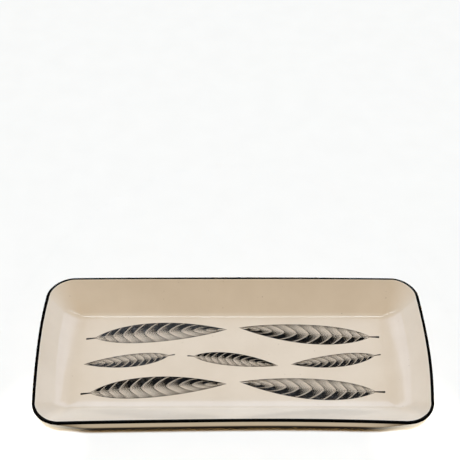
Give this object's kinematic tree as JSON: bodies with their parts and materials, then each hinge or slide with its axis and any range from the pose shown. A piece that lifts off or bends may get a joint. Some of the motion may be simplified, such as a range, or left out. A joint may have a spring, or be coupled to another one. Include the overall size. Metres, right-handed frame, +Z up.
{
  "type": "rectangular serving platter",
  "caption": "Shallow rectangular stoneware platter with flared walls, glossy cream glaze, a dark banded lip and leaf prints, for serving small food.",
  "frame": {"origin": "on the table, under the middle of the platter", "axes": "+X along the long side, +Y towards the back long side, +Z up"},
  "size_m": [0.33, 0.1608, 0.0277],
  "materials": {
    "clay": "bare fired stoneware, matt and slightly gritty",
    "cream_glaze": "glossy cream glaze",
    "black_glaze": "glossy black glaze, painted by hand",
    "black_ink": "black print under gloss",
    "charcoal_ink": "charcoal print under gloss",
    "slate_ink": "slate grey print under gloss"
  },
  "bodies": {
    "root": {"stoneware_body": "clay", "inner_glaze": "cream_glaze", "outer_glaze": "cream_glaze", "foot_recess_glaze": "cream_glaze", "rim_band": "black_glaze", "leaf_print_1": "black_ink", "leaf_print_2": "charcoal_ink", "leaf_print_3": "slate_ink", "leaf_print_4": "black_ink", "leaf_print_5": "charcoal_ink", "leaf_print_6": "slate_ink", "leaf_print_7": "black_ink"}
  },
  "joints": []
}
